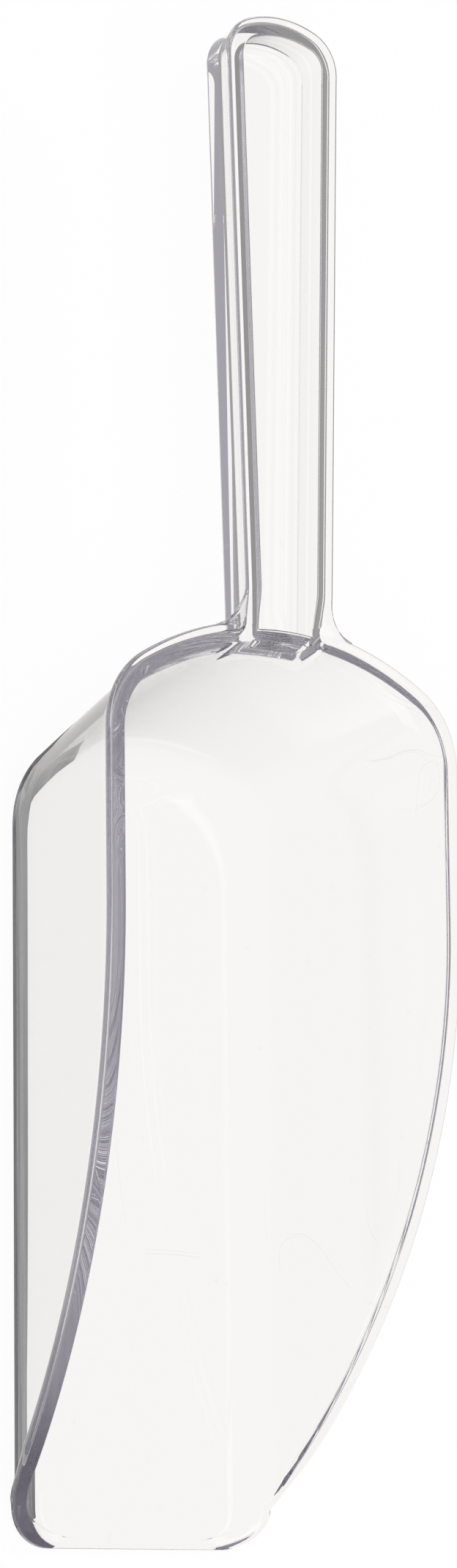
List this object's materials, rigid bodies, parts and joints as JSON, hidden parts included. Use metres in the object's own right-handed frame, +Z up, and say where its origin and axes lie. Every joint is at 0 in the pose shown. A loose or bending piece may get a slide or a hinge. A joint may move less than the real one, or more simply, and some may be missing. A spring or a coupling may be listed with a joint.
{
  "type": "ice scoop",
  "caption": "Clear one-piece moulded ice scoop with a flat-bottomed bowl, swept mouth, flanged rim and open trough-shaped handle.",
  "frame": {"origin": "middle of the flat underside that the scoop rests on", "axes": "+Y along the handle, away from the lip; +Z up out of the open bowl"},
  "size_m": [0.0696, 0.2407, 0.0435],
  "materials": {
    "clear_plastic": "gloss"
  },
  "bodies": {
    "root": {"bowl": "clear_plastic", "handle_floor": "clear_plastic", "handle_wall": "clear_plastic"}
  },
  "joints": []
}
